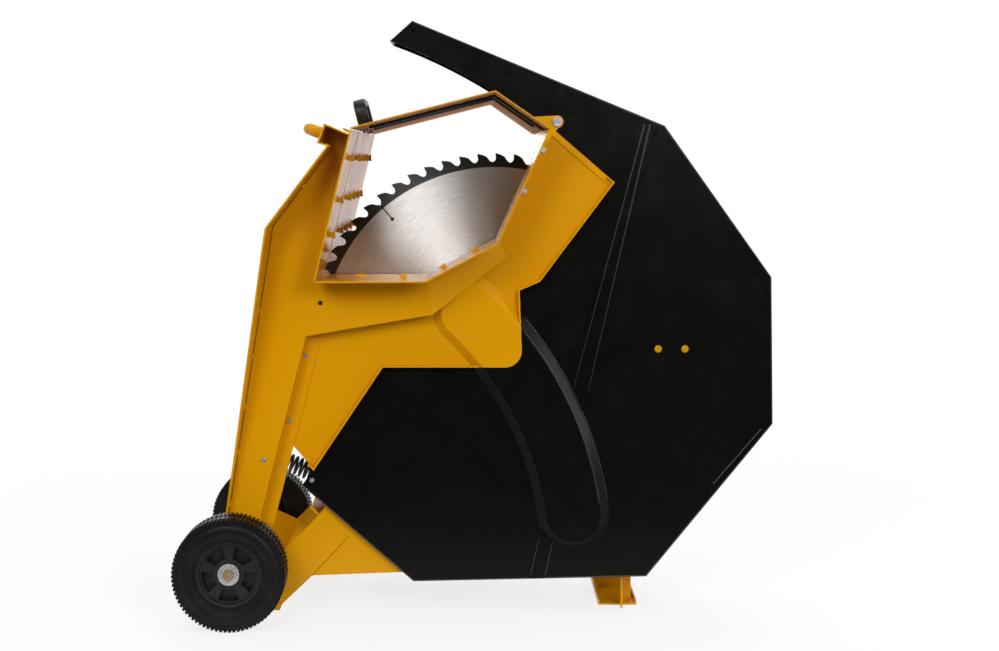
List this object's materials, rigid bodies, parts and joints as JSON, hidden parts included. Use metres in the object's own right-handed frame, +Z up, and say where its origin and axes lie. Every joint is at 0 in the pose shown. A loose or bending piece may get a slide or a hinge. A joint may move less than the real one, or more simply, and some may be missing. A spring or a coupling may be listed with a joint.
{
  "type": "tilting firewood saw",
  "caption": "Firewood saw on wheels: a spiked trough with lid and blade guard rocks on the axle past a fixed, motor-driven circular blade",
  "frame": {"origin": "on the ground, under the middle of the saw's box", "axes": "+X from the push bar towards the guard's back, +Y away from the blade side, +Z up"},
  "size_m": [1.077, 0.71, 1.082],
  "materials": {
    "yellow_paint": "gloss",
    "black_paint": "gloss",
    "blade_steel": "satin",
    "zinc": "satin",
    "yellow_zinc": "satin",
    "spring_steel": "satin",
    "motor_grey": "satin",
    "black_plastic": "matte",
    "tyre_rubber": "matte",
    "button_green": "gloss",
    "button_red": "gloss"
  },
  "bodies": {
    "frame": {"frame_plate_near": "yellow_paint", "frame_plate_mid": "yellow_paint", "frame_plate_far": "yellow_paint", "front_cross_channel": "yellow_paint", "front_foot": "yellow_paint", "rear_foot": "yellow_paint", "rear_leg_near": "yellow_paint", "motor_shelf": "yellow_paint", "axle": "yellow_zinc", "axle_washer_near": "zinc", "axle_washer_far": "zinc", "axle_clip_near": "zinc", "axle_clip_far": "zinc", "axle_spacer_near": "zinc", "axle_spacer_inner": "zinc", "lower_blade_box": "yellow_paint", "arbor_housing": "motor_grey", "motor_body": "motor_grey", "motor_feet": "motor_grey", "motor_cowl": "black_plastic", "switch_box": "black_plastic", "power_inlet": "black_plastic", "return_spring": "spring_steel"},
    "cradle": {"arm_near": "yellow_paint", "arm_far": "yellow_paint", "pivot_bush_near": "yellow_zinc", "pivot_bush_far": "yellow_zinc", "trough_left_near": "yellow_paint", "trough_left_far": "yellow_paint", "trough_left_tie": "yellow_paint", "trough_bed": "yellow_paint", "wood_spikes": "yellow_paint", "near_end_plate": "yellow_paint", "far_end_plate": "yellow_paint", "side_cover": "yellow_paint", "guard_front_sheet": "black_paint", "guard_rear_sheet": "black_paint", "guard_far_sheet": "black_paint", "guard_rim": "black_paint", "push_handle": "yellow_paint", "hinge_bolt_near": "zinc", "hinge_bolt_far": "zinc"},
    "lid": {"lid_sheet": "yellow_paint", "lid_handle": "black_plastic"},
    "blade": {"saw_blade": "blade_steel", "arbor_shaft": "blade_steel", "outer_flange": "blade_steel", "inner_flange": "blade_steel", "arbor_nut": "blade_steel"},
    "wheel_near": {"wheel_near_tyre": "tyre_rubber", "wheel_near_rim": "black_plastic"},
    "wheel_far": {"wheel_far_tyre": "tyre_rubber", "wheel_far_rim": "black_plastic"},
    "start_button": {"start_button": "button_green"},
    "stop_button": {"stop_button": "button_red"}
  },
  "joints": [
    {"name": "cradle_tilt", "type": "hinge", "parent": "frame", "child": "cradle", "pos_m": [-0.4385, 0, 0.1], "axis": [0, -1, 0], "range_deg": [0, 32], "deforming": ["return_spring"]},
    {"name": "lid_hinge", "type": "hinge", "parent": "cradle", "child": "lid", "pos_m": [0.13778, 0, 0.89441], "axis": [0, 1, 0], "range_deg": [0, 75]},
    {"name": "blade_spin", "type": "hinge", "parent": "frame", "child": "blade", "pos_m": [0.03278, -0.161, 0.49043], "axis": [0, 1, 0], "continuous": true},
    {"name": "wheel_near_spin", "type": "hinge", "parent": "frame", "child": "wheel_near", "pos_m": [-0.4385, -0.325, 0.1], "axis": [0, 1, 0], "continuous": true},
    {"name": "wheel_far_spin", "type": "hinge", "parent": "frame", "child": "wheel_far", "pos_m": [-0.4385, 0.131, 0.1], "axis": [0, 1, 0], "continuous": true},
    {"name": "start_press", "type": "slide", "parent": "frame", "child": "start_button", "axis": [-1, 0, 0], "range_m": [0, 0.005], "stiffness_N_per_m": 400},
    {"name": "stop_press", "type": "slide", "parent": "frame", "child": "stop_button", "axis": [-1, 0, 0], "range_m": [0, 0.005], "stiffness_N_per_m": 400}
  ]
}
